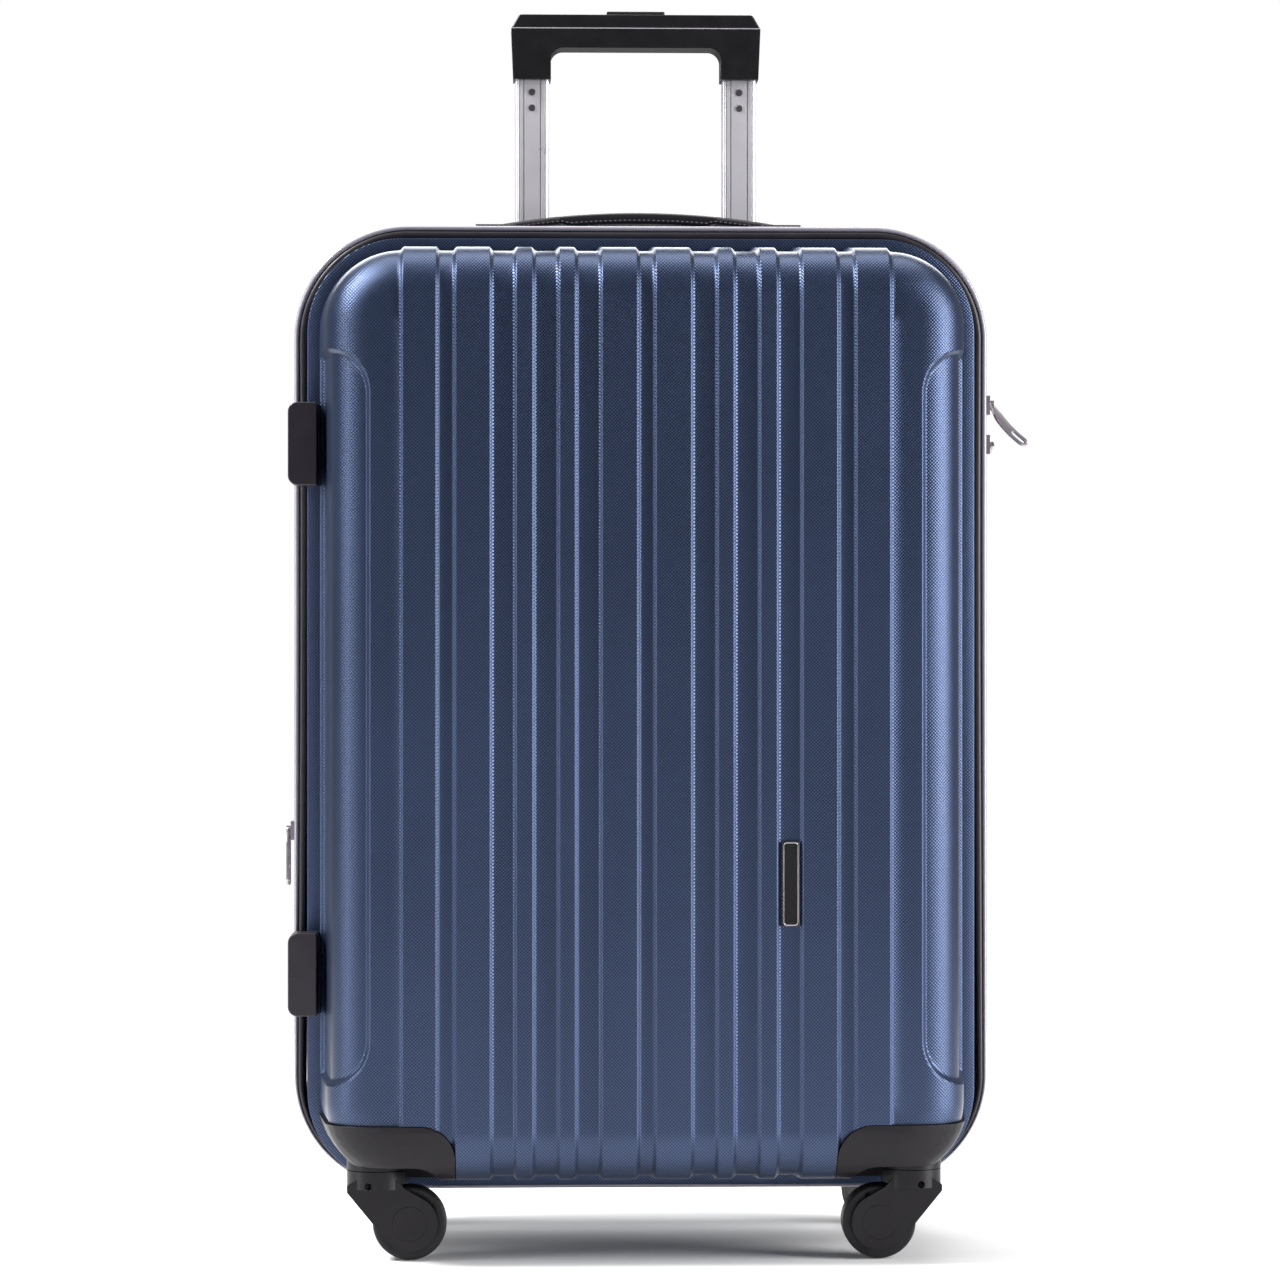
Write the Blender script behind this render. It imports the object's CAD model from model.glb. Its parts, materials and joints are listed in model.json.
"""Looks of a hard shell suitcase with swivel casters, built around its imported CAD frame.

Shapes are worked out in millimetres, in the frame's own axes, and turned into metres where a mesh is made.
"""
import json
import math

import bmesh
import bpy
import numpy as np
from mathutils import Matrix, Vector


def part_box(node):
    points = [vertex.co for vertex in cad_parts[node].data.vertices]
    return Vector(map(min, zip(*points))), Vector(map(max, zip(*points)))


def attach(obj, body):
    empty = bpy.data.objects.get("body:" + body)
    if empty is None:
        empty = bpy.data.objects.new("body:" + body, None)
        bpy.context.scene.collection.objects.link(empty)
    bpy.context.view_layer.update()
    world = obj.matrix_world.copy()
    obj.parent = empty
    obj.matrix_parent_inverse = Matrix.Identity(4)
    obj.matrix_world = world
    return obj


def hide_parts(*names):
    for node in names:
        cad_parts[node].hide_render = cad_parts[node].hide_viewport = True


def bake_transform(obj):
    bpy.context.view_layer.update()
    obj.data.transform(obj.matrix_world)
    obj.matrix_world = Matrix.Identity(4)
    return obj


MM = 0.001
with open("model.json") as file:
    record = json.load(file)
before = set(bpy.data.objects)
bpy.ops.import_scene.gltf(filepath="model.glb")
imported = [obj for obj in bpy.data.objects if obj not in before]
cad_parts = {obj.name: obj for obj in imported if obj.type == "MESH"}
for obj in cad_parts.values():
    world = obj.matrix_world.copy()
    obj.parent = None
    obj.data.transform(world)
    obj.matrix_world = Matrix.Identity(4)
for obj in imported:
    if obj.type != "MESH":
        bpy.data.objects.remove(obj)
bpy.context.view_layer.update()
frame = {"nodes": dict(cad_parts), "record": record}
node_of = frame["nodes"]


def box_mm(node):
    lo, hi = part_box(node)
    return np.array(lo) / MM, np.array(hi) / MM


# ---------------------------------------------------------------- driving sizes
shell_lo, shell_hi = box_mm("front_shell")
trim_lo, trim_hi = box_mm("front_trim")
RIM_R = 60
TRIM_R = 72
BAND = shell_hi[1] * -1               # rim plane of each half, from the middle plane
FLANGE_STEP = 4.5
DEPTH = -shell_lo[1] + FLANGE_STEP    # the level 0 front face
DRAFT = math.radians(5)
ROUND = 36
# Levels are depths under the outermost face.
RIB_LEVEL = FLANGE_STEP
SKIN_LEVEL = RIB_LEVEL + 2.5
PANEL_DROP = 3
WALL = 2
# Where each rib begins and ends, outwards from the middle. They are mirrored.
RIBS = [(6, 27), (44, 53), (70, 79.5), (96, 116.5), (129, 149)]
# The sunk side panels: inner edge, bottom, top, corner radius and the depth where they begin.
PANEL_IN, PANEL_Z0, PANEL_Z1, PANEL_R, PANEL_Q = 170, 111, 561, 27, 38
# The corners that the caster housings fill: inner edge, top, near face and corner radius.
ZONE_IN, ZONE_TOP, ZONE_BACK, ZONE_R = 117, 86, 36, 22
FRONT, REAR = -1, 1
BEYOND = 200                          # how far a cutter reaches past the case


# ---------------------------------------------------------------- small helpers
def smooth(t):
    t = np.clip(t, 0, 1)
    return t * t * (3 - 2 * t)


def new_object(name, verts, faces, materials=(), face_slots=None, sharp=35, smooth_shade=True):
    """A mesh object from points in millimetres."""
    mesh = bpy.data.meshes.new(name)
    mesh.from_pydata([tuple(v) for v in np.asarray(verts, float) * MM], [], [tuple(f) for f in faces])
    obj = bpy.data.objects.new(name, mesh)
    bpy.context.scene.collection.objects.link(obj)
    for m in materials:
        mesh.materials.append(m)
    if face_slots is not None:
        mesh.polygons.foreach_set("material_index", np.asarray(face_slots, np.int32))
    finish_mesh(obj, sharp, smooth_shade)
    return obj


def finish_mesh(obj, sharp=35, smooth_shade=True):
    """Welds, drops slivers, turns faces outwards and shades a mesh smooth between sharp edges."""
    bm = bmesh.new()
    bm.from_mesh(obj.data)
    bmesh.ops.remove_doubles(bm, verts=bm.verts, dist=2e-6)
    bmesh.ops.dissolve_degenerate(bm, edges=bm.edges, dist=1e-7)
    bmesh.ops.recalc_face_normals(bm, faces=bm.faces)
    for f in bm.faces:
        f.smooth = smooth_shade
    bm.to_mesh(obj.data)
    bm.free()
    obj.data.set_sharp_from_angle(angle=math.radians(sharp))


def apply_modifier(obj, kind, **settings):
    mod = obj.modifiers.new(kind.lower(), kind)
    for key, value in settings.items():
        setattr(mod, key, value)
    bpy.context.view_layer.objects.active = obj
    bpy.ops.object.modifier_apply(modifier=mod.name)


def cut_out(obj, outline, y0, y1):
    """Cuts a prism along Y, over points [x, z], out of a closed mesh."""
    verts = [(x, y, z) for y in (y0, y1) for x, z in outline]
    cutter = new_object("cutter", verts, ring_faces(2, len(outline)), smooth_shade=False)
    apply_modifier(obj, "BOOLEAN", operation="DIFFERENCE", object=cutter, solver="MANIFOLD")
    bpy.data.objects.remove(cutter)


def ring_faces(rings, around, closed=False, caps=True):
    """Quads between rings of points that follow each other, with two end caps unless they close up."""
    faces = []
    for i in range(rings if closed else rings - 1):
        k = (i + 1) % rings
        faces += [(i * around + j, k * around + j, k * around + (j + 1) % around, i * around + (j + 1) % around)
                  for j in range(around)]
    if caps and not closed:
        faces += [tuple(range(around))[::-1], tuple(range((rings - 1) * around, rings * around))]
    return faces


def arc(cx, cz, r, a0, a1, steps):
    return [(cx + r * math.cos(a), cz + r * math.sin(a))
            for a in np.radians(np.linspace(a0, a1, steps + 1))]


def rounded_box(lo, hi, r, steps=3):
    """A box with all its edges rounded, as points and faces, built from a squeezed subdivided cube."""
    lo, hi = np.asarray(lo, float), np.asarray(hi, float)
    r = min(r, *(hi - lo) / 2 * 0.999)
    offsets = [r * (1 - round(math.cos(a), 6)) for a in np.radians(np.linspace(0, 90, steps + 1))]
    lines = [sorted({round(v, 5) for o in offsets for v in (lo[k] + o, hi[k] - o)}) for k in range(3)]
    verts, faces, index = [], [], {}

    def vert(p):
        key = tuple(np.round(p, 4))
        if key not in index:
            inner = np.clip(p, lo + r, hi - r)
            d = p - inner
            size = np.linalg.norm(d)
            q = inner + d / size * r if size > 1e-9 else p
            index[key] = len(verts)
            verts.append(q)
        return index[key]

    for k in range(3):
        a, b = [j for j in range(3) if j != k]
        for side in (lo[k], hi[k]):
            for i in range(len(lines[a]) - 1):
                for j in range(len(lines[b]) - 1):
                    corners = []
                    for u, v in ((i, j), (i + 1, j), (i + 1, j + 1), (i, j + 1)):
                        p = np.zeros(3)
                        p[k], p[a], p[b] = side, lines[a][u], lines[b][v]
                        corners.append(vert(p))
                    if len(set(corners)) > 2:
                        faces.append(corners)
    return verts, faces


def combine(parts):
    """Several (points, faces, slot) as one set."""
    verts, faces, slots = [], [], []
    for part_verts, part_faces, slot in parts:
        base = len(verts)
        verts += [tuple(v) for v in part_verts]
        faces += [tuple(base + i for i in f) for f in part_faces]
        slots += [slot] * len(part_faces)
    return verts, faces, slots


def tube(points, radius, sides=10, closed=False):
    """A round tube along points, as points and faces."""
    pts = np.asarray(points, float)
    n = len(pts)
    verts = []
    for i, p in enumerate(pts):
        ahead = pts[(i + 1) % n] if closed or i < n - 1 else pts[i]
        back = pts[i - 1] if closed or i > 0 else pts[i]
        t = (ahead - back) / np.linalg.norm(ahead - back)
        up = np.array([0, 0, 1.0]) if abs(t[2]) < 0.9 else np.array([0, 1.0, 0])
        u = np.cross(t, up)
        u /= np.linalg.norm(u)
        v = np.cross(t, u)
        verts += [p + radius * (math.cos(a) * u + math.sin(a) * v)
                  for a in np.linspace(0, 2 * math.pi, sides, endpoint=False)]
    return verts, ring_faces(n, sides, closed)


# ---------------------------------------------------------------- materials
class Look:
    """A Principled material with a chain of procedural detail."""

    def __init__(self, name, color, rough, **sockets):
        self.material = bpy.data.materials.new(name)
        self.material.use_nodes = True
        self.tree = self.material.node_tree
        self.shader = self.tree.nodes["Principled BSDF"]
        self.shader.inputs["Base Color"].default_value = (*color, 1)
        self.shader.inputs["Roughness"].default_value = rough
        for key, value in sockets.items():
            self.shader.inputs[key.replace("_", " ")].default_value = value
        self.coord = self.node("ShaderNodeTexCoord")
        self.height = None
        self.color = color
        self.rough = rough
        self.xyz = None

    def node(self, kind, **attributes):
        n = self.tree.nodes.new(kind)
        for key, value in attributes.items():
            setattr(n, key, value)
        return n

    def link(self, a, b):
        self.tree.links.new(a, b)

    def math(self, operation, a, b=None):
        n = self.node("ShaderNodeMath", operation=operation)
        for i, v in enumerate([a, b]):
            if v is None:
                continue
            if isinstance(v, (int, float)):
                n.inputs[i].default_value = v
            else:
                self.link(v, n.inputs[i])
        return n.outputs[0]

    def axes(self):
        if self.xyz is None:
            self.xyz = self.node("ShaderNodeSeparateXYZ")
            self.link(self.coord.outputs["Object"], self.xyz.inputs[0])
        return self.xyz.outputs

    def noise(self, scale, detail=3, stretch=(1, 1, 1)):
        mapping = self.node("ShaderNodeMapping")
        mapping.inputs["Scale"].default_value = stretch
        self.link(self.coord.outputs["Object"], mapping.inputs[0])
        n = self.node("ShaderNodeTexNoise")
        n.inputs["Scale"].default_value = scale
        n.inputs["Detail"].default_value = detail
        self.link(mapping.outputs[0], n.inputs["Vector"])
        return n.outputs["Fac"]

    def ranged(self, value, lo, hi, from_lo=0.3, from_hi=0.7):
        n = self.node("ShaderNodeMapRange")
        self.link(value, n.inputs["Value"])
        for key, v in (("From Min", from_lo), ("From Max", from_hi), ("To Min", lo), ("To Max", hi)):
            n.inputs[key].default_value = v
        return n.outputs[0]

    def vary_color(self, value, share):
        """The colour shifts by a share, down and up, with a value from 0 to 1."""
        mix = self.node("ShaderNodeMix", data_type="RGBA")
        self.link(value, mix.inputs[0])
        mix.inputs[6].default_value = (*[c * (1 - share) for c in self.color], 1)
        mix.inputs[7].default_value = (*[min(1, c * (1 + share)) for c in self.color], 1)
        self.link(mix.outputs[2], self.shader.inputs["Base Color"])
        return self

    def vary_rough(self, value, amount):
        self.link(self.ranged(value, self.rough - amount, self.rough + amount),
                  self.shader.inputs["Roughness"])
        return self

    def bump(self, value, strength, depth):
        n = self.node("ShaderNodeBump")
        n.inputs["Strength"].default_value = strength
        n.inputs["Distance"].default_value = depth
        self.link(value, n.inputs["Height"])
        if self.height is not None:
            self.link(self.height, n.inputs["Normal"])
        self.height = n.outputs[0]
        self.link(self.height, self.shader.inputs["Normal"])
        return self

    def waves(self, a, b, pitch):
        """A product of two sine waves along two sums of axes, from -1 to 1."""
        k = 2 * math.pi / (pitch * MM)
        first = self.math("SINE", self.math("MULTIPLY", a, k))
        second = self.math("SINE", self.math("MULTIPLY", b, k))
        return self.math("MULTIPLY", first, second)


def moulded(name, color, rough, grain=900, depth=0.00004, **sockets):
    """Moulded plastic or rubber: fine grain, faint cloudiness and uneven gloss."""
    look = Look(name, color, rough, **sockets)
    look.vary_color(look.noise(40, 4), 0.08)
    look.vary_rough(look.noise(90, 5), 0.05)
    look.bump(look.noise(grain, 2), 0.25, depth)
    return look.material


def shell_look():
    """Satin navy plastic with a fine twill pressed into its front, smooth towards the flange."""
    look = Look("shell_navy", (0.035, 0.0535, 0.108), 0.33, Metallic=0.72, Coat_Weight=0.1, Coat_Roughness=0.25)
    x, _, z = look.axes()
    normal = look.node("ShaderNodeSeparateXYZ")
    look.link(look.coord.outputs["Normal"], normal.inputs[0])
    facing = look.math("ABSOLUTE", normal.outputs[1])
    mask = look.ranged(facing, 0, 1, 0.3, 0.7)
    twill = look.math("MULTIPLY", look.waves(x, z, 2.1), mask)
    shade = look.math("ADD", look.math("MULTIPLY", twill, 0.8), look.ranged(look.noise(6, 3), 0.4, 0.6))
    look.vary_color(shade, 0.6)
    look.vary_rough(look.noise(150, 4), 0.03)
    look.bump(twill, 0.5, 0.0002)
    look.bump(look.noise(700, 3), 0.1, 0.00005)
    return look.material


def cloth_look(name, color, pitch, along="panel", depth=0.0002):
    """Woven cloth: a weave of a pitch in mm, laid along a band round the case or over a panel."""
    look = Look(name, color, 0.85, Sheen_Weight=0.35, Sheen_Roughness=0.5)
    x, y, z = look.axes()
    if along == "band":
        weave = look.waves(look.math("ADD", x, z), y, pitch)
    else:
        weave = look.waves(look.math("ADD", x, y), look.math("ADD", z, look.math("MULTIPLY", y, 0.5)), pitch)
    look.vary_color(look.math("ADD", look.math("MULTIPLY", weave, 0.35), look.noise(60, 4)), 0.3)
    look.bump(weave, 0.6, depth)
    look.bump(look.noise(900, 2), 0.3, 0.0001)
    return look.material


def net_look(name, color):
    """Open mesh cloth: dark holes in a light net."""
    look = Look(name, color, 0.8, Sheen_Weight=0.3)
    x, _, z = look.axes()
    net = look.waves(look.math("ADD", x, z), look.math("SUBTRACT", x, z), 4.2)
    holes = look.math("GREATER_THAN", look.math("ABSOLUTE", net), 0.28)
    mix = look.node("ShaderNodeMix", data_type="RGBA")
    look.link(holes, mix.inputs[0])
    mix.inputs[6].default_value = (*color, 1)
    mix.inputs[7].default_value = (0.006, 0.006, 0.007, 1)
    look.link(mix.outputs[2], look.shader.inputs["Base Color"])
    look.bump(look.math("SUBTRACT", 1.0, holes), 0.8, 0.0003)
    return look.material


def metal_look(name, color, rough, brush=None, scratch=0.15, shine=1.0):
    """Cast or drawn metal, with fine scratches stretched along brush where it is brushed."""
    look = Look(name, color, rough, Metallic=shine)
    look.vary_rough(look.noise(60, 5), min(0.05, rough * 0.4))
    if brush:
        look.bump(look.noise(500, 2, brush), scratch, 0.00002)
    look.vary_color(look.noise(30, 3), 0.05)
    return look.material


M = {
    "shell": shell_look(),
    "band": moulded("trim_black", (0.014, 0.012, 0.017), 0.42, 1200),
    "piping": moulded("trim_piping", (0.32, 0.3, 0.35), 0.16, 300, 0.00002, Coat_Weight=0.6),
    "textile": cloth_look("trim_textile", (0.06, 0.055, 0.065), 0.9, "band"),
    "zip_tape": cloth_look("zip_tape", (0.16, 0.145, 0.185), 0.8, "band"),
    "gusset": cloth_look("gusset_cloth", (0.13, 0.12, 0.15), 1.0, "band"),
    "teeth": moulded("zip_teeth", (0.02, 0.018, 0.022), 0.35, 900),
    "lining": cloth_look("lining_cloth", (0.045, 0.047, 0.055), 0.7),
    "panel": cloth_look("divider_cloth", (0.035, 0.036, 0.042), 1.1),
    "net": net_look("divider_net", (0.05, 0.05, 0.056)),
    "webbing": cloth_look("strap_webbing", (0.02, 0.02, 0.023), 1.6, depth=0.0003),
    "thread": moulded("thread", (0.09, 0.085, 0.095), 0.6, 1500),
    "housing": moulded("housing_plastic", (0.006, 0.0045, 0.007), 0.38, 1400, 0.00005,
                       Specular_IOR_Level=0.25),
    "caster": moulded("caster_plastic", (0.0065, 0.005, 0.0075), 0.35, 1400, 0.00005,
                      Specular_IOR_Level=0.25),
    "tyre": moulded("tyre_rubber", (0.011, 0.0095, 0.012), 0.48, 1000, 0.00008, Specular_IOR_Level=0.3),
    "grip": moulded("grip_plastic", (0.0045, 0.004, 0.0055), 0.34, 1600, 0.00004),
    "seam": moulded("seam_line", (0.4, 0.38, 0.42), 0.3, 900),
    "button": moulded("button_plastic", (0.014, 0.013, 0.015), 0.4, 1600),
    "handle": moulded("handle_black", (0.016, 0.014, 0.018), 0.45, 1100, 0.0001),
    "handle_gloss": moulded("handle_gloss", (0.012, 0.011, 0.014), 0.22, 600, 0.00002),
    "foot": moulded("foot_plastic", (0.02, 0.016, 0.024), 0.33, 1300, 0.00004),
    "badge": moulded("badge_gloss", (0.01, 0.01, 0.011), 0.1, 200, 0.00001, Coat_Weight=1.0),
    "chrome": metal_look("zip_chrome", (0.42, 0.38, 0.42), 0.3, shine=0.85),
    "rivet": metal_look("rivet_head", (0.3, 0.29, 0.32), 0.3),
    "steel": metal_look("pin_steel", (0.6, 0.6, 0.62), 0.28, (1, 1, 1)),
    "tube": metal_look("tube_aluminium", (0.68, 0.665, 0.71), 0.32, (1, 1, 0.01), 0.02, 0.45),
    "lock": moulded("lock_gloss", (0.014, 0.013, 0.015), 0.18, 300, 0.00002),
    "cup": moulded("cup_plastic", (0.02, 0.018, 0.022), 0.4, 1400),
}

SLOTS = {s["node"]: s["material_slot"] for s in frame["record"]["subparts"]}


stood_for = set()


def place(obj, body, *nodes, slot=None):
    """Rides a piece on its body, hides the CAD nodes it stands for and names its finish."""
    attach(obj, body)
    if nodes:
        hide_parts(*nodes)
        stood_for.update(nodes)
    return obj


# ---------------------------------------------------------------- outlines and shells
class Outline:
    """A rounded rectangle in X-Z, in millimetres, about its middle."""

    def __init__(self, lo, hi, radius):
        self.w, self.h, self.r = hi[0], (hi[2] - lo[2]) / 2, radius
        self.mid = (hi[2] + lo[2]) / 2
        self.cx, self.cz = self.w - radius, self.h - radius

    def columns(self, side_z, top_x, corner_steps):
        """Samples round the outline, anticlockwise: (centre, outward normal, distance to the outline)."""
        turn = np.radians(np.linspace(0, 90, corner_steps + 1)[1:-1])
        out = []
        for s, zs, xs in ((1, side_z, top_x[::-1]), (-1, side_z[::-1], top_x)):
            out += [((0, z), (s, 0), self.w) for z in zs]
            out += [((s * self.cx, s * self.cz), (s * math.cos(a), s * math.sin(a)), self.r) for a in turn]
            out += [((x, 0), (0, s), self.h) for x in xs]
            out += [((-s * self.cx, s * self.cz), (-s * math.sin(a), s * math.cos(a)), self.r) for a in turn]
        return out

    def ring(self, side_z, top_x, corner_steps, inset=0):
        """Points [x, z] round the outline, moved inwards by inset, and the way outwards at each."""
        centres, normals, reach = (np.array(v, float) for v in zip(*self.columns(side_z, top_x, corner_steps)))
        return centres + normals * (reach - inset)[:, None] + [0, self.mid], normals


rim = Outline(shell_lo, shell_hi, RIM_R)
trim = Outline(trim_lo, trim_hi, TRIM_R)
MID_Q = DEPTH - ROUND
MID_X = -ROUND / math.cos(DRAFT) - (MID_Q - BAND) * math.tan(DRAFT)


def profile(station, level):
    """(distance outwards from the rim, distance from the middle plane) of a station at a level."""
    kind, value = station[0], station[1]
    if kind == "rim":
        return -station[2] + 0 * level, value + 0 * level
    if kind == "wall":
        return -level / math.cos(DRAFT) - (value - BAND) * math.tan(DRAFT), value + 0 * level
    if kind == "round":
        return MID_X + (ROUND - level) * math.cos(value), MID_Q + (ROUND - level) * math.sin(value)
    return MID_X + value * (-RIM_R - MID_X) + 0 * level, DEPTH - level


def half_shell_mesh(side, cols, rows, xs, strips):
    """A closed half from strips of (stations, level function), from one core round the rim to the other."""
    centre, normal, reach = (np.array(v, float) for v in zip(*cols))
    rings, cores = [], []
    for stations, level_at in strips:
        for st in stations:
            px, q = profile(st, np.full(len(cols), float(SKIN_LEVEL)))
            flat = centre + normal * (reach + px)[:, None]
            level = level_at(flat[:, 0], flat[:, 1] + rim.mid, q) if st[0] != "rim" else np.zeros(len(cols))
            px, q = profile(st, level)
            flat = centre + normal * (reach + px)[:, None]
            rings.append(np.column_stack([flat[:, 0], side * q, flat[:, 1] + rim.mid]))
        gx, gz = np.meshgrid(xs, rows, indexing="ij")
        level = level_at(gx.ravel(), gz.ravel() + rim.mid, np.full(gx.size, float(DEPTH)))
        cores.append(np.column_stack([gx.ravel(), side * (DEPTH - level), gz.ravel() + rim.mid]))
    faces = ring_faces(len(rings), len(cols), caps=False)
    nx, nz = len(xs), len(rows)
    for c in range(len(cores)):
        start = len(rings) * len(cols) + c * nx * nz
        faces += [(a, a + 1, a + nz + 1, a + nz)
                  for i in range(nx - 1) for a in range(start + i * nz, start + i * nz + nz - 1)]
    return np.vstack(rings + cores), faces


# A rib's flank: mm outside its edge, and the share of its height that is left there.
RIB_FLANK = ((-0.3, 0, 0.35, 1.6, 2.2, 2.9), (1, 0.97, 0.86, 0.26, 0.07, 0))


def rib_level(x, z, q):
    """Level of the outer surface: ribs stand proud of the skin and the side panels are sunk."""
    ax = np.abs(x)
    rib = np.zeros_like(ax)
    for x0, x1 in RIBS:
        outside = np.maximum(x0 - ax, ax - x1)
        rib = np.maximum(rib, np.interp(outside, *RIB_FLANK))
    level = SKIN_LEVEL - rib * (SKIN_LEVEL - RIB_LEVEL)
    zc, zh = (PANEL_Z0 + PANEL_Z1) / 2, (PANEL_Z1 - PANEL_Z0) / 2
    dx = PANEL_IN + PANEL_R - ax
    dz = np.abs(z - zc) - (zh - PANEL_R)
    away = np.hypot(np.maximum(dx, 0), np.maximum(dz, 0)) - PANEL_R + np.minimum(np.maximum(dx, dz), 0)
    panel = np.interp(away, (-2.2, -1.6, 0.9, 1.4), (1, 0.95, 0.07, 0)) * smooth((q - PANEL_Q + 0.2) / 1.4)
    return level + PANEL_DROP * panel


def lines_between(lo, hi, step, extra=()):
    """Grid lines from lo to hi: the extra ones, and enough others that no gap is over step."""
    marks = sorted({round(float(m), 3) for m in [lo, hi, *extra] if lo <= m <= hi})
    out = [marks[0]]
    for start, end in zip(marks, marks[1:]):
        count = max(1, math.ceil((end - start) / step))
        out += [start + (end - start) * (k + 1) / count for k in range(count)]
    return out


rib_edges = [s * (e + o * d) for x0, x1 in RIBS for e, o in ((x0, -1), (x1, 1))
             for d in (-1.1, *RIB_FLANK[0]) for s in (1, -1)]
XS = lines_between(-rim.cx, rim.cx, 9, rib_edges)
arch_rows = [z - rim.mid for a in np.radians(np.linspace(0, 90, 24))
             for z in (PANEL_Z0 + PANEL_R * (1 - math.sin(a)), PANEL_Z1 - PANEL_R * (1 - math.sin(a)))]
edge_rows = [z - rim.mid + d for z in (PANEL_Z0, PANEL_Z1) for d in (-2.2, -1.6, -0.8, 0, 0.8, 1.4, 2.0)]
ROWS = lines_between(-rim.cz, rim.cz, 14, arch_rows + edge_rows)
COLS = rim.columns(ROWS, XS, 28)
round_angles = np.radians([*range(8, 21, 3), *np.arange(23.5, 70, 3.5), 72, 74.5, *range(76, 91)])
OUTER = ([("rim", BAND, 0.4), ("rim", BAND + 0.4, 0), ("rim", BAND + 8.9, 0), ("rim", BAND + 9.6, 0.25),
          ("rim", BAND + 10, 0.9), ("wall", BAND + 10.15), ("wall", BAND + 11), ("wall", BAND + 13)]
         + [("wall", q) for q in (36, 37.8, 38.1, 38.5, 38.9, 39.3, 41, 48, 56, 65, 75, 85, 93, 100)]
         + [("round", a) for a in round_angles] + [("flat", f) for f in (0.04, 0.08, 0.14, 0.3, 0.6, 1)])
INNER = ([("rim", BAND, SKIN_LEVEL + WALL), ("wall", 34), ("wall", 40), ("wall", 70), ("wall", 99)]
         + [("round", math.radians(a)) for a in (20, 35, 50, 65, 76, 90)] + [("flat", 0.4), ("flat", 1)])


def inner_level(x, z, q):
    """Level of the inner surface, which follows the sunk panels but not the ribs."""
    return SKIN_LEVEL + WALL + (rib_level(x, z, q) > SKIN_LEVEL + PANEL_DROP / 2) * PANEL_DROP


def zone_outline(grow, sx):
    """The corner that a caster housing fills, as points [x, z]."""
    top, inside, r = ZONE_TOP + grow, ZONE_IN - grow, ZONE_R
    pts = [(300, -20), (300, top)] + arc(inside + r, top - r, r, 90, 180, 14) + [(inside, -20)]
    return [(sx * x, z) for x, z in pts]


def cut_corners(obj, side, gap):
    """Cuts the room of the two caster housings out of a half, with a gap round them."""
    for sx in (-1, 1):
        cut_out(obj, zone_outline(gap, sx), side * (ZONE_BACK - gap), side * BEYOND)


def shell(side, name, body, node):
    """A ribbed half with room for its caster housings, and in the rear one for the pull handle's cup."""
    strips = [(OUTER[::-1], rib_level), (INNER, inner_level)]
    verts, faces = half_shell_mesh(side, COLS, ROWS, XS, strips)
    obj = new_object(name, verts, faces, [M["shell"]], sharp=40)
    cut_corners(obj, side, 0.4)
    if side == REAR:
        lo, hi = box_mm("trolley_cup")
        lo, hi = lo - [0.2, 0.2, 2], hi + [0.2, 0.2, 60]
        cut_out(obj, [(lo[0], lo[2]), (hi[0], lo[2]), (hi[0], hi[2]), (lo[0], hi[2])], lo[1], hi[1])
    finish_mesh(obj, 38)
    return place(obj, body, node)


shell(FRONT, "shell_front", "lid", "front_shell")
shell(REAR, "shell_rear", "rear_half", "rear_shell")


# ---------------------------------------------------------------- trim round each rim
def loop_between(outer, inner, corner_steps=30):
    """Matching points round two outlines, each with the way outwards and the width between them."""
    even = np.linspace(-1, 1, 20)
    outside = outer.ring(outer.cz * even, outer.cx * even, corner_steps)[0]
    inside = inner.ring(inner.cz * even, inner.cx * even, corner_steps)[0]
    width = np.linalg.norm(outside - inside, axis=1)
    return outside, (outside - inside) / width[:, None], width


def swept(profile_points, points, outward, width=None, spare=0.4):
    """A closed profile of (distance inwards, y) swept round points [x, z]."""
    verts = []
    for i, point in enumerate(points):
        for u, y in profile_points:
            inwards = min(u, width[i] + spare) if width is not None else u
            x, z = point - outward[i] * inwards
            verts.append((x, y, z))
    return verts, ring_faces(len(points), len(profile_points), closed=True)


def trim_piece(side, name, body, node):
    """The bound edge of a half: cloth outside, a round piping and a black face."""
    y0, y1 = abs(trim_hi[1]), abs(trim_lo[1])
    bead = arc(1.85, y1 - 2.4, 1.6, 215, -5, 17)
    cloth = [(9.5, y0), (1.2, y0), (0.5, y0 + 0.6), (0.35, y0 + 1.6), (0.3, y0 + 4), (0.35, y1 - 5.4),
             (0.75, y1 - 4.4)]
    face = [(3.8, y1 - 2.2), (4.2, y1 - 0.9), (4.9, y1 - 0.3), (6.2, y1), (7.8, y1 - 0.1), (8.6, y1 - 0.7),
            (9.5, y1 - 2.2)]
    prof = cloth + bead + face
    pts, out, width = loop_between(trim, rim)
    verts, faces = swept([(u, side * y) for u, y in prof], pts, out, width)
    slots = ([0] * (len(cloth) - 1) + [1] * len(bead) + [2] * (len(face) + 1)) * len(pts)
    obj = new_object(name, verts, faces, [M["textile"], M["piping"], M["band"]], slots, sharp=50)
    return place(obj, body, node)


trim_piece(FRONT, "trim_front", "lid", "front_trim")
trim_piece(REAR, "trim_rear", "rear_half", "rear_trim")


# ---------------------------------------------------------------- zips and gusset
def walk(outline, pitch, inset):
    """Points, outward normals and directions at an even pitch round an outline, inset inwards."""
    fine_z, fine_x = np.linspace(-outline.cz, outline.cz, 400), np.linspace(-outline.cx, outline.cx, 300)
    ring, ways = (np.vstack([v, v[:1]]) for v in outline.ring(fine_z, fine_x, 90, inset))
    length = np.concatenate([[0], np.cumsum(np.linalg.norm(np.diff(ring, axis=0), axis=1))])
    at = np.linspace(0, length[-1], int(length[-1] / pitch), endpoint=False)
    p, n = (np.column_stack([np.interp(at, length, v[:, k]) for k in (0, 1)]) for v in (ring, ways))
    n /= np.linalg.norm(n, axis=1)[:, None]
    return p, n, length[-1]


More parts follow.
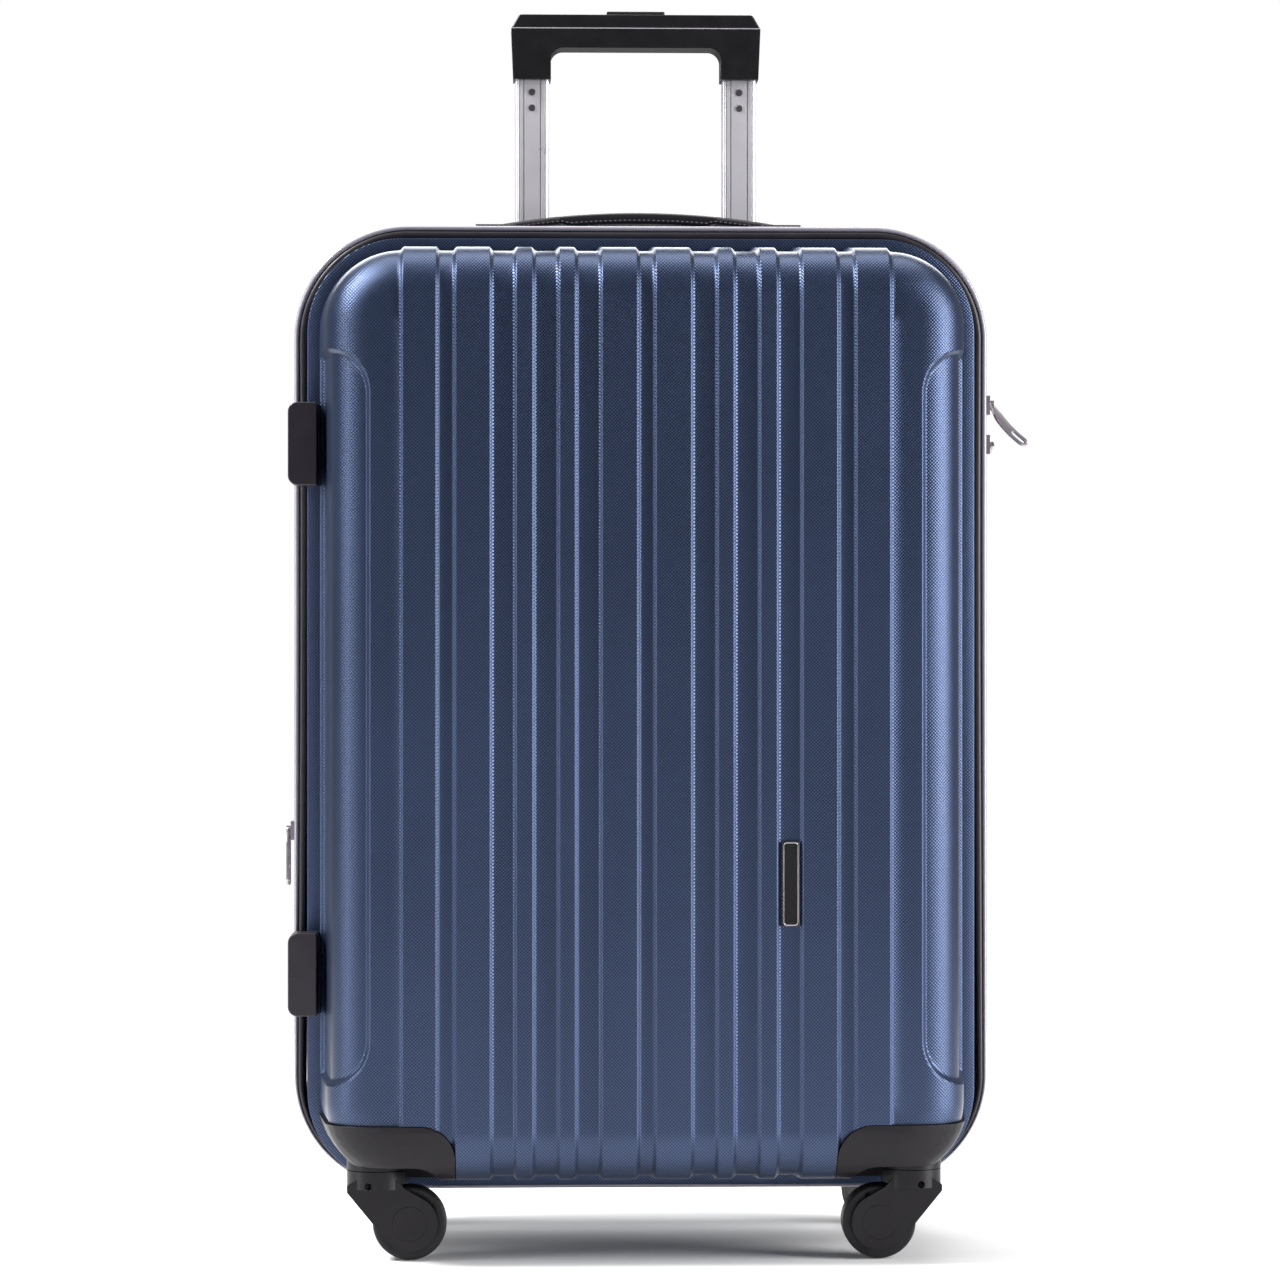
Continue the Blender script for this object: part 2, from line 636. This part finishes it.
def teeth(name, y0, y1, inset, height, shift, body, slot, nodes=(), pitch=2.5):
    """A row of zip teeth: small blocks with a narrower top, at an even pitch round the trim."""
    p, n, _ = walk(trim, pitch, inset)
    t = np.column_stack([-n[:, 1], n[:, 0]])
    p = p + t * shift * pitch
    verts, faces = [], []
    for i in range(len(p)):
        base = len(verts)
        for up, half, slim in ((0, 0.78, 0), (height * 0.7, 0.7, 0.15), (height, 0.42, 0.45)):
            for a, y in ((-half, y0 + slim), (half, y0 + slim), (half, y1 - slim), (-half, y1 - slim)):
                q = p[i] + n[i] * up + t[i] * a
                verts.append((q[0], y, q[1]))
        for k in (0, 4):
            faces += [(base + k + j, base + k + (j + 1) % 4, base + k + 4 + (j + 1) % 4, base + k + 4 + j)
                      for j in range(4)]
        faces += [(base + 3, base + 2, base + 1, base), (base + 8, base + 9, base + 10, base + 11)]
    obj = new_object(name, verts, faces, [M["teeth"]], smooth_shade=False)
    return place(obj, body, *nodes, slot=slot)


def band(name, prof, inner, material, body, node, declared_width=None):
    """A band of cloth round the case: (distance inwards, y) outside, closed on the inner side."""
    full = prof + [(inner, prof[-1][1]), (inner, prof[0][1])]
    even = np.linspace(-1, 1, 30)
    verts, faces = swept(full, *trim.ring(trim.cz * even, trim.cx * even, 30))
    obj = new_object(name, verts, faces, [material], sharp=60)
    place(obj, body, node)
    if declared_width:
        loop = walk(trim, 5, 1)[2]


band("zip_tape_front", [(1.2, -13), (1.05, -12.2), (1.3, -11.6), (1.35, -10.3)], 2.2, M["zip_tape"],
     "lid", "front_zip")
band("gusset_cloth", [(1.4, -9.7), (1.3, -7.6), (1.5, -6.8), (1.5, -3.2), (1.9, -2.2), (2.5, -1.6), (1.6, -0.9),
                      (1.2, 0.2), (1.15, 1.6), (1.3, 8.4), (1.2, 9.6), (1.9, 10.6), (2.3, 11.2), (1.5, 12),
                      (1.4, 13)], 3.0, M["gusset"], "rear_half", "gusset_band", 24)
teeth("main_teeth_lid", -12.3, -9.85, 1.25, 1.1, 0, "lid", "zip_teeth")
teeth("main_teeth_rear", -10.15, -7.7, 1.25, 1.1, 0.5, "rear_half", "zip_teeth")
teeth("expansion_teeth_a", 2.6, 5.15, 1.2, 0.95, 0, "rear_half", "zip_teeth", ("expansion_zip",))
teeth("expansion_teeth_b", 4.85, 7.4, 1.2, 0.95, 0.5, "rear_half", "zip_teeth")


def hinge_cloth():
    """The strip that joins the two halves inside the hinge side. It folds as the lid opens."""
    x = -trim.w + 3.3
    ys = np.linspace(-12.9, -5.5, 18)
    zs = np.linspace(118, 562, 40)
    verts, faces = [], []
    for thick in (0, 0.5):
        verts += [(x + thick + 0.06 * math.sin(z * 0.6), y, z) for z in zs for y in ys]
    ny, nz = len(ys), len(zs)
    for layer in (0, ny * nz):
        faces += [(a, a + 1, a + ny + 1, a + ny)
                  for j in range(nz - 1) for a in range(layer + j * ny, layer + j * ny + ny - 1)]
    edge = ([j * ny for j in range(nz)] + [(nz - 1) * ny + i for i in range(1, ny)]
            + [j * ny + ny - 1 for j in range(nz - 2, -1, -1)] + [i for i in range(ny - 2, 0, -1)])
    faces += [(a, b, b + ny * nz, a + ny * nz) for a, b in zip(edge, edge[1:] + edge[:1])]
    obj = new_object("hinge_cloth", verts, faces, [M["gusset"]])
    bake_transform(obj)


hinge_cloth()


# ---------------------------------------------------------------- linings, divider and straps
def wrinkle(p, size):
    """Smooth repeatable folds from a few crossed waves."""
    x, y, z = p
    return (math.sin(x * 0.11 + 1.7 * math.sin(z * 0.023)) * math.sin(z * 0.047 + 0.6 * math.sin(y * 0.09))
            + 0.5 * math.sin(z * 0.16 + x * 0.05) * math.sin(x * 0.21 - z * 0.03 + y * 0.1)) * size


def lining(side, name, body, node, back=None):
    """A cloth bag inside a half, with loose folds, which keeps clear of the pull handle's tubes at back."""
    rows = list(np.linspace(-rim.cz, rim.cz, 12))
    xs = list(np.linspace(-rim.cx, rim.cx, 10))
    cols = rim.columns(rows, xs, 10)
    level, mouth = 13.6, 21.0
    outer = ([("flat", 1), ("flat", 0.4)] + [("round", math.radians(a)) for a in (90, 70, 50, 30, 12)]
             + [("wall", 90), ("wall", 55), ("rim", mouth, level)])
    cap = [("rim", mouth, 38), ("rim", mouth, RIM_R)]
    strips = [(outer, lambda x, z, q: np.full(len(x), level)),
              (cap, lambda x, z, q: np.full(len(x), DEPTH - mouth))]
    verts, faces = half_shell_mesh(side, cols, rows, xs, strips)
    obj = new_object(name, verts, faces, [M["lining"]])
    cut_corners(obj, side, 5.4)
    if back:
        cut_out(obj, [(-300, 0), (300, 0), (300, 700), (-300, 700)], side * back, side * BEYOND)
    apply_modifier(obj, "REMESH", mode="VOXEL", voxel_size=0.0045)
    apply_modifier(obj, "SMOOTH", factor=0.5, iterations=6)
    bm = bmesh.new()
    bm.from_mesh(obj.data)
    bmesh.ops.delete(bm, geom=[f for f in bm.faces if f.calc_center_median()[1] * side < (mouth + 2.2) * MM],
                     context="FACES")
    bm.normal_update()
    for v in bm.verts:
        v.co -= v.normal * (0.9 + wrinkle(v.co / MM, 0.75)) * MM
    for f in bm.faces:
        f.smooth = True
    bm.to_mesh(obj.data)
    bm.free()
    apply_modifier(obj, "SOLIDIFY", thickness=0.0006, offset=1)
    place(obj, body, node)


lining(FRONT, "lining_front", "lid", "front_lining")
lining(REAR, "lining_rear", "rear_half", "rear_lining", back=69.6)


def plate_mesh(outline_level, y_near, y_far, bulge):
    """A thin plate across the lid, inside the rim by outline_level, which bulges in its middle."""
    rows = list(np.linspace(-rim.cz, rim.cz, 34))
    xs = list(np.linspace(-rim.cx, rim.cx, 26))
    cols = rim.columns(rows, xs, 12)
    near, far = abs(y_near), abs(y_far)
    strips = [([("rim", near, RIM_R), ("rim", near, 40), ("rim", near, outline_level)],
               lambda x, z, q: np.full(len(x), DEPTH - near)),
              ([("rim", far, outline_level), ("rim", far, 40), ("rim", far, RIM_R)],
               lambda x, z, q: np.full(len(x), DEPTH - far))]
    verts, faces = half_shell_mesh(FRONT, cols, rows, xs, strips)
    fx = 1 - np.clip(np.abs(verts[:, 0]) / (rim.w - outline_level), 0, 1) ** 2
    fz = 1 - np.clip(np.abs(verts[:, 2] - rim.mid) / (rim.h - outline_level), 0, 1) ** 2
    verts[:, 1] += bulge * fx * fz
    return verts, faces


BULGE = 2.6


def divider_bulge(x, z):
    return BULGE * (1 - min(1, abs(x) / 197) ** 2) * (1 - min(1, abs(z - rim.mid) / 285) ** 2)


def rounded_loop(x0, x1, z0, z1, r, steps=8):
    """Points [x, z] round a rounded rectangle, with even stretches between its corners."""
    corners = (arc(x1 - r, z1 - r, r, 0, 90, steps) + arc(x0 + r, z1 - r, r, 90, 180, steps)
               + arc(x0 + r, z0 + r, r, 180, 270, steps) + arc(x1 - r, z0 + r, r, 270, 360, steps))
    out = []
    for i, p in enumerate(corners):
        q = corners[(i + 1) % len(corners)]
        gap = math.dist(p, q)
        parts = max(1, int(gap / 14))
        out += [(p[0] + (q[0] - p[0]) * k / parts, p[1] + (q[1] - p[1]) * k / parts) for k in range(parts)]
    return out


def flat_strip(points, half_width, thick, closed, y_at, lift=0.0):
    """A flat tape along points [x, z], facing +Y, which follows y_at(x, z)."""
    n = len(points)
    verts = []
    for i, (x, z) in enumerate(points):
        ax, az = points[(i + 1) % n] if closed or i < n - 1 else points[i]
        bx, bz = points[i - 1] if closed or i else points[i]
        tx, tz = ax - bx, az - bz
        size = math.hypot(tx, tz)
        nx, nz = -tz / size, tx / size
        top = half_width - 0.3
        for off, dy in ((-half_width, 0), (-top, thick), (top, thick), (half_width, 0)):
            px, pz = x + nx * off, z + nz * off
            verts.append((px, y_at(px, pz) + lift + dy, pz))
    return verts, ring_faces(n, 4, closed)


def divider():
    """The lid's divider: a cloth panel with two zipped net pockets."""
    y_near, y_far, inside = -21.6, -22.8, 14.6
    verts, faces = plate_mesh(inside, y_near, y_far, BULGE)
    panel = new_object("divider_panel_cloth", verts, faces, [M["panel"]], sharp=60)
    place(panel, "lid", "divider_panel")

    def face_y(x, z):
        return y_near + divider_bulge(x, z)

    pockets, half = ((92, 318), (336, 586)), 168
    parts, net_parts = [], []
    for z0, z1 in pockets:
        zip_z = z1 - 22
        loop = rounded_loop(-half - 4, half + 4, z0, z1, 26)
        parts.append((*flat_strip(loop, 6, 0.9, True, face_y, 0.55), 0))
        top = [(x, zip_z) for x in np.linspace(-160, 160, 40)]
        parts.append((*flat_strip(top, 8, 0.7, False, face_y, 0.5), 1))
        for k in range(126):
            x, z = -156 + k * 2.5, zip_z + (0.8 if k % 2 else -0.8)
            y = face_y(x, z)
            parts.append((*rounded_box([x - 0.8, y + 1, z - 1.6], [x + 0.8, y + 2, z + 1.6], 0.3, 1), 2))
        x, y = 120, face_y(120, zip_z)
        slider = rounded_box([x - 5, y + 1.2, zip_z - 3.4], [x + 5, y + 3.4, zip_z + 3.4], 1)
        tab = rounded_box([x - 2.4, y + 3.4, zip_z - 26], [x + 2.4, y + 4.4, zip_z + 1], 0.4)
        parts += [(*slider, 3), (*tab, 3)]
        gx, gz = np.linspace(-half, half, 22), np.linspace(z0 + 4, z1 - 30, 16)
        for dy in (0.35, 0.75):
            points = [(x, face_y(x, z) + dy + 0.5 * math.sin(x * 0.09) * math.sin(z * 0.08), z)
                      for x in gx for z in gz]
            quads = [(a, a + 1, a + 17, a + 16) for i in range(21) for a in range(i * 16, i * 16 + 15)]
            net_parts.append((points, quads, 0))
    v, f, s = combine(parts)
    trims = new_object("divider_bindings", v, f, [M["webbing"], M["zip_tape"], M["teeth"], M["chrome"]], s)
    place(trims, "lid", slot="lining_fabric")
    v, f, s = combine(net_parts)
    net = new_object("divider_nets", v, f, [M["net"]])
    place(net, "lid", slot="mesh_fabric")


divider()


def straps():
    """Two webbing straps that cross over the rear compartment, and the buckle that joins them."""
    y_mid, half = 16.2, 11.5
    parts = []
    for s in (-1, 1):
        a = math.radians(52) * s
        verts = []
        for t in np.linspace(-226, 226, 70):
            x, z = t * math.cos(a), rim.mid + t * math.sin(a)
            lift = -s * 0.9 * math.exp(-(t / 30) ** 2) + 0.5 * math.sin(t * 0.03)
            nx, nz = -math.sin(a), math.cos(a)
            for off, dy in ((-half, -0.55), (-half, 0.55), (-half + 1.2, 0.7), (half - 1.2, 0.7), (half, 0.55),
                            (half, -0.55), (half - 1.2, -0.7), (-half + 1.2, -0.7)):
                verts.append((x + nx * off, y_mid + lift + dy, z + nz * off))
        parts.append((verts, ring_faces(70, 8), 0))
        for t in (-150, 150):
            frame_pts = [((t + u) * math.cos(a) - w * math.sin(a), y_mid + 0.2,
                          rim.mid + (t + u) * math.sin(a) + w * math.cos(a))
                         for u, w in ((-7, -14), (7, -14), (7, 14), (-7, 14))]
            parts.append((*tube(frame_pts, 1.6, 8, closed=True), 1))
    for lo, hi, r in (([-17, 13.6, -16], [17, 19.4, 3], 2.4), ([-12, 14.4, 1], [12, 18.6, 15], 1.8),
                      ([-18.5, 14.8, -12], [-15.5, 18.2, -2], 1), ([15.5, 14.8, -12], [18.5, 18.2, -2], 1),
                      ([-8, 12.9, -11], [8, 14, -3], 0.5)):
        parts.append((*rounded_box(np.array(lo) + [0, 0, rim.mid], np.array(hi) + [0, 0, rim.mid], r), 1))
    v, f, s = combine(parts)
    obj = new_object("packing_straps", v, f, [M["webbing"], M["grip"]], s, sharp=40)
    place(obj, "rear_half", "cross_straps")


straps()


# ---------------------------------------------------------------- carry handles
def carry_handle(node, along, up, reach, rise, thick, grip_half):
    """A soft handle with a thicker grip, arched over its span, with a row of stitches down each side."""
    along, up = np.array(along, float), np.array(up, float)
    across = np.cross(up, along)
    lo, hi = box_mm(node)
    depth = up @ (hi - lo)
    centre = (lo + hi) / 2 + up * depth / 2
    radius = (reach ** 2 + rise ** 2) / (2 * rise)
    half_w = 12
    ts = np.linspace(-reach + 6, reach - 6, 81)
    ring = [(half_w - 2 + 2 * math.cos(a), math.sin(a)) for a in np.radians(np.linspace(-90, 90, 9))]
    ring += [(-x, -s) for x, s in ring]

    def sag(t):
        return -radius + math.sqrt(radius ** 2 - t ** 2)

    def thickness(t):
        return thick + 2.4 * smooth((grip_half - abs(t)) / 7)

    strap = []
    for t in ts:
        for side_off, s in ring:
            h = sag(t) - thickness(t) * (1 - s) / 2
            crown = -0.5 * (side_off / half_w) ** 2 * (s > 0)
            strap.append(centre + along * t + across * side_off + up * (h + crown))
    glossy = [abs(a + b) / 2 < grip_half for a, b in zip(ts, ts[1:])]
    parts = [(strap, ring_faces(len(ts), len(ring)), 0)]
    for t in np.arange(-reach + 14, reach - 14, 3.1):
        for s in (-1, 1):
            middle = centre + across * s * (half_w + 0.02) + up * (sag(t) - thickness(t) * 0.72)
            parts.append((*tube([middle + along * (t - 0.75), middle + along * (t + 0.75)], 0.38, 6), 2))
    for s_end in (-1, 1):
        for end, top in ((reach - 6.2, sag(reach - 8) - thick / 2), (reach - 0.2, 2.4 - depth)):
            corner = [centre + along * s_end * (reach - 11) + across * -11.9 + up * (0.1 - depth),
                      centre + along * s_end * end + across * 11.9 + up * top]
            parts.append((*rounded_box(np.minimum(*corner), np.maximum(*corner), 0.7), 0))
    verts, faces, slots = combine(parts)
    slots[:len(glossy) * len(ring)] = np.repeat(glossy, len(ring)).astype(int)
    looks = [M["handle"], M["handle_gloss"], M["thread"]]
    place(new_object(node + "_soft", verts, faces, looks, slots, sharp=45), node, node)


carry_handle("top_handle", (1, 0, 0), (0, 0, 1), 94, 8.5, 5, 50)
carry_handle("side_handle", (0, 0, -1), (1, 0, 0), 80, 4.5, 3.5, 42)


# ---------------------------------------------------------------- zip pulls
def zip_pull(node, length, width, along, across, bow=0.0, roll=0.0):
    """A cast pull, bowed along its length: an eye at the hinge, a waist, a raised rim and a slot near its end."""
    joints = {j["name"]: j for j in frame["record"]["behaviour"]["joints"]}
    origin = np.array(joints[node]["pos_m"]) / MM
    along, across = np.array(along, float), np.array(across, float)
    across = math.cos(roll) * across + math.sin(roll) * np.cross(along, across)
    normal = np.cross(along, across)
    rim_height = [(-1, -0.6), (-0.93, -0.85), (-0.6, -0.65), (0.6, -0.65), (0.93, -0.85), (1, -0.6)]
    ring = rim_height + [(-v, -t) for v, t in rim_height]
    us = [-2.2, -1.8, -1.2] + list(np.linspace(-0.4, length - 0.2, 34))
    half = width / 2
    verts = []
    for u in us:
        if u < 0:
            w = math.sqrt(max(0.05, 2.3 ** 2 - u ** 2))
        elif u > length - half:
            w = math.sqrt(max(0.02, half ** 2 - (u - length + half) ** 2))
        else:
            w = 2.3 + (half - 2.3) * float(smooth((u - 1) / 9))
        verts += [(u, t, w * v) for v, t in ring]
    obj = new_object(node + "_cast", verts, ring_faces(len(us), len(ring)), [M["chrome"]], sharp=50)
    slot_u, slot_r = length - 7.5, width * 0.24
    cut_out(obj, arc(slot_u + 3.4, 0, slot_r, -90, 90, 8) + arc(slot_u - 3.4, 0, slot_r, 90, 270, 8), -5, 5)
    cut_out(obj, arc(0, 0, 1.25, 0, 345, 23), -5, 5)
    for v in obj.data.vertices:
        u, t, w = np.array(v.co) / MM
        lift = bow * 4 * (u / length) * (1 - u / length)
        p = origin + along * u + normal * (t + lift) + across * w
        v.co = p * MM
    finish_mesh(obj, 45)
    place(obj, node, node)


TILT = math.radians(42)
zip_pull("pull_upper", 34, 9, (math.sin(TILT), 0, -math.cos(TILT)), (0, 1, 0), -2.4, math.radians(38))
zip_pull("pull_lower", 32, 9, (0, 1, 0), (0, 0, 1))
zip_pull("expansion_pull", 35, 8, (0, 0, -1), (0, 1, 0), roll=math.radians(8))


# ---------------------------------------------------------------- pull handle tubes
def grooved_tubes():
    """The inner tubes, with a flat centre strip between two grooves on their wide faces."""
    lo, hi = box_mm("inner_tubes")
    y = (lo[1] + hi[1]) / 2
    half_w, half_d = 11.2, (hi[1] - lo[1]) / 2
    tube_x = hi[0] - half_w
    groove = ((0, 0.3), (4.9, 0.3), (5.2, 0.9), (5.8, 0.9), (6.1, 0.1), (7.3, 0), (8.0, 0.05), (8.3, 0.5),
              (8.7, 0.5))
    quarter = ([(x, half_d - sunk) for x, sunk in groove]
               + [(half_w - 2.4 + 2.4 * math.cos(a), half_d - 2.4 + 2.4 * math.sin(a))
                  for a in np.radians(np.linspace(80, 0, 6))])
    ring = (quarter + [(x, -d) for x, d in quarter[::-1]] + [(-x, -d) for x, d in quarter[1:]]
            + [(-x, d) for x, d in quarter[:0:-1]])
    zs = np.linspace(lo[2], hi[2], 12)
    parts = [([(s * tube_x + px, y + py, z) for z in zs for px, py in ring], ring_faces(len(zs), len(ring)), 0)
             for s in (-1, 1)]
    v, f, s = combine(parts)
    place(new_object("inner_tubes_grooved", v, f, [M["tube"]], s, sharp=25), "trolley_top", "inner_tubes")


grooved_tubes()


# ---------------------------------------------------------------- finishes of the CAD nodes
def dress(node, material, bevel=0.6, angle=32):
    """Puts a finish on a CAD node and rounds its edges a little."""
    obj = node_of[node]
    mesh = obj.data
    mesh.materials.clear()
    mesh.materials.append(M[material])
    if "custom_normal" in mesh.attributes:
        mesh.attributes.remove(mesh.attributes["custom_normal"])
    for p in mesh.polygons:
        p.use_smooth = True
    for attribute in ("sharp_edge", "sharp_face"):
        if attribute in mesh.attributes:
            mesh.attributes.remove(mesh.attributes[attribute])
    weld = obj.modifiers.new("weld", "WELD")
    weld.merge_threshold = 2e-6
    flat = obj.modifiers.new("flat", "DECIMATE")
    flat.decimate_type = "DISSOLVE"
    flat.angle_limit = math.radians(0.4)
    if bevel:
        edge = obj.modifiers.new("bevel", "BEVEL")
        edge.width = bevel * MM
        edge.segments = 3
        edge.limit_method = "ANGLE"
        edge.angle_limit = math.radians(angle)
        edge.use_clamp_overlap = True
        edge.miter_outer = "MITER_ARC"
    shade = obj.modifiers.new("shade", "WEIGHTED_NORMAL")
    shade.keep_sharp = True


FINISHES = {
    "housing_plastic": ("housing", 0.8), "grip_plastic": ("grip", 1.2), "button_plastic": ("button", 0.7),
    "caster_plastic": ("caster", 0.7), "tyre_rubber": ("tyre", 0), "pin_steel": ("steel", 0.25),
    "tube_aluminium": ("tube", 0.2), "rivet_steel": ("rivet", 0.1), "zip_chrome": ("chrome", 0.4),
    "lock_plastic": ("lock", 0.5), "cup_plastic": ("cup", 0.5), "handle_rubber": ("handle", 0.7),
    "badge_black": ("badge", 0.3),
}
SPECIAL = {"front_feet": ("foot", 2.6), "rear_feet": ("foot", 2.6)}
for name in sorted(set(node_of) - stood_for):
    material, bevel = SPECIAL.get(name) or FINISHES[SLOTS[name]]
    if name.startswith("pins_"):
        material, bevel = "caster", 0.3
    dress(name, material, bevel)


# ---------------------------------------------------------------- badge frame
def badge_frame():
    """The bright line round the badge."""
    lo, hi = box_mm("badge_plate")
    loop = rounded_loop(lo[0] + 0.8, hi[0] - 0.8, lo[2] + 0.8, hi[2] - 0.8, 2)
    verts, faces = tube([(x, lo[1] + 0.15, z) for x, z in loop], 0.45, 6, closed=True)
    obj = new_object("badge_frame", verts, faces, [M["chrome"]])
    place(obj, "lid", slot="zip_chrome")


badge_frame()


def grip_seam():
    """The pale line where the cover meets the body of the pull handle's grip."""
    lo, hi = box_mm("grip_cover")
    low, high = lo + [0.02, -0.08, -0.28], [hi[0] - 0.02, hi[1] + 0.08, lo[2] + 0.28]
    v, f = rounded_box(low, high, 0.1, 1)
    place(new_object("grip_seam", v, f, [M["seam"]]), "trolley_top", slot="grip_plastic")


grip_seam()


# ---------------------------------------------------------------- stage, light and camera
def area_light(name, at, target, size, power):
    data = bpy.data.lights.new(name, "AREA")
    data.shape = "RECTANGLE"
    data.size, data.size_y = size
    data.energy = power
    obj = bpy.data.objects.new(name, data)
    bpy.context.scene.collection.objects.link(obj)
    obj.location = at
    obj.rotation_euler = (Vector(target) - Vector(at)).to_track_quat("-Z", "Y").to_euler()


def fading_floor():
    """A pale floor round the object that fades out into the white backdrop."""
    material = bpy.data.materials.new("floor_white")
    material.use_nodes = True
    tree = material.node_tree
    shader = tree.nodes["Principled BSDF"]
    shader.inputs["Base Color"].default_value = (0.92, 0.92, 0.92, 1)
    shader.inputs["Roughness"].default_value = 0.85
    coord = tree.nodes.new("ShaderNodeTexCoord")
    length = tree.nodes.new("ShaderNodeVectorMath")
    length.operation = "LENGTH"
    fade = tree.nodes.new("ShaderNodeMapRange")
    fade.interpolation_type = "SMOOTHSTEP"
    fade.inputs["From Min"].default_value = 0.5
    fade.inputs["From Max"].default_value = 2.4
    clear = tree.nodes.new("ShaderNodeBsdfTransparent")
    mix = tree.nodes.new("ShaderNodeMixShader")
    tree.links.new(coord.outputs["Object"], length.inputs[0])
    tree.links.new(length.outputs["Value"], fade.inputs["Value"])
    tree.links.new(fade.outputs[0], mix.inputs[0])
    tree.links.new(shader.outputs[0], mix.inputs[1])
    tree.links.new(clear.outputs[0], mix.inputs[2])
    tree.links.new(mix.outputs[0], tree.nodes["Material Output"].inputs["Surface"])
    edge = [(x, y, -0.5) for x, y in arc(0, 0, 2600, 0, 360, 64)[:-1]]
    new_object("floor", edge, [tuple(range(64))], [material])


fading_floor()


def studio_world(seen, lit):
    """A white backdrop all round that lights the object more softly than it looks."""
    world = bpy.data.worlds.new("studio")
    bpy.context.scene.world = world
    world.use_nodes = True
    tree = world.node_tree
    background = tree.nodes["Background"]
    background.inputs[0].default_value = (1, 1, 1, 1)
    path = tree.nodes.new("ShaderNodeLightPath")
    strength = tree.nodes.new("ShaderNodeMapRange")
    strength.inputs["To Min"].default_value = lit
    strength.inputs["To Max"].default_value = seen
    tree.links.new(path.outputs["Is Camera Ray"], strength.inputs["Value"])
    tree.links.new(strength.outputs[0], background.inputs[1])


studio_world(1.0, 0.15)
bpy.context.scene.view_settings.view_transform = "Standard"

TARGET = (0, 0, 0.36)
area_light("corner_left", (-1.9, -0.3, 2.4), (0, 0, 0.5), (0.8, 0.8), 115)
area_light("side_left", (-2.5, -0.9, 0.8), TARGET, (0.5, 2.2), 34)
area_light("side_right", (2.3, -0.9, 0.8), TARGET, (1.2, 2.4), 115)
area_light("top", (0, 0.3, 2.7), TARGET, (2.6, 1.2), 42)
area_light("back", (0, 2.4, 1.8), TARGET, (2.4, 1.2), 45)

CAMERA_AZ = math.radians(-1.9)
CAMERA_RANGE = 3.0
CAMERA_Z = 0.377
FOCAL_PX = 4700
FRAME_PX = 1280
camera_data = bpy.data.cameras.new("camera")
camera_data.sensor_width = 36
camera_data.lens = FOCAL_PX / FRAME_PX * 36
camera_data.shift_y = 10 / FRAME_PX
camera = bpy.data.objects.new("camera", camera_data)
bpy.context.scene.collection.objects.link(camera)
camera.location = (CAMERA_RANGE * math.sin(CAMERA_AZ), -CAMERA_RANGE * math.cos(CAMERA_AZ), CAMERA_Z)
camera.rotation_euler = (math.pi / 2, 0, CAMERA_AZ)
bpy.context.scene.camera = camera
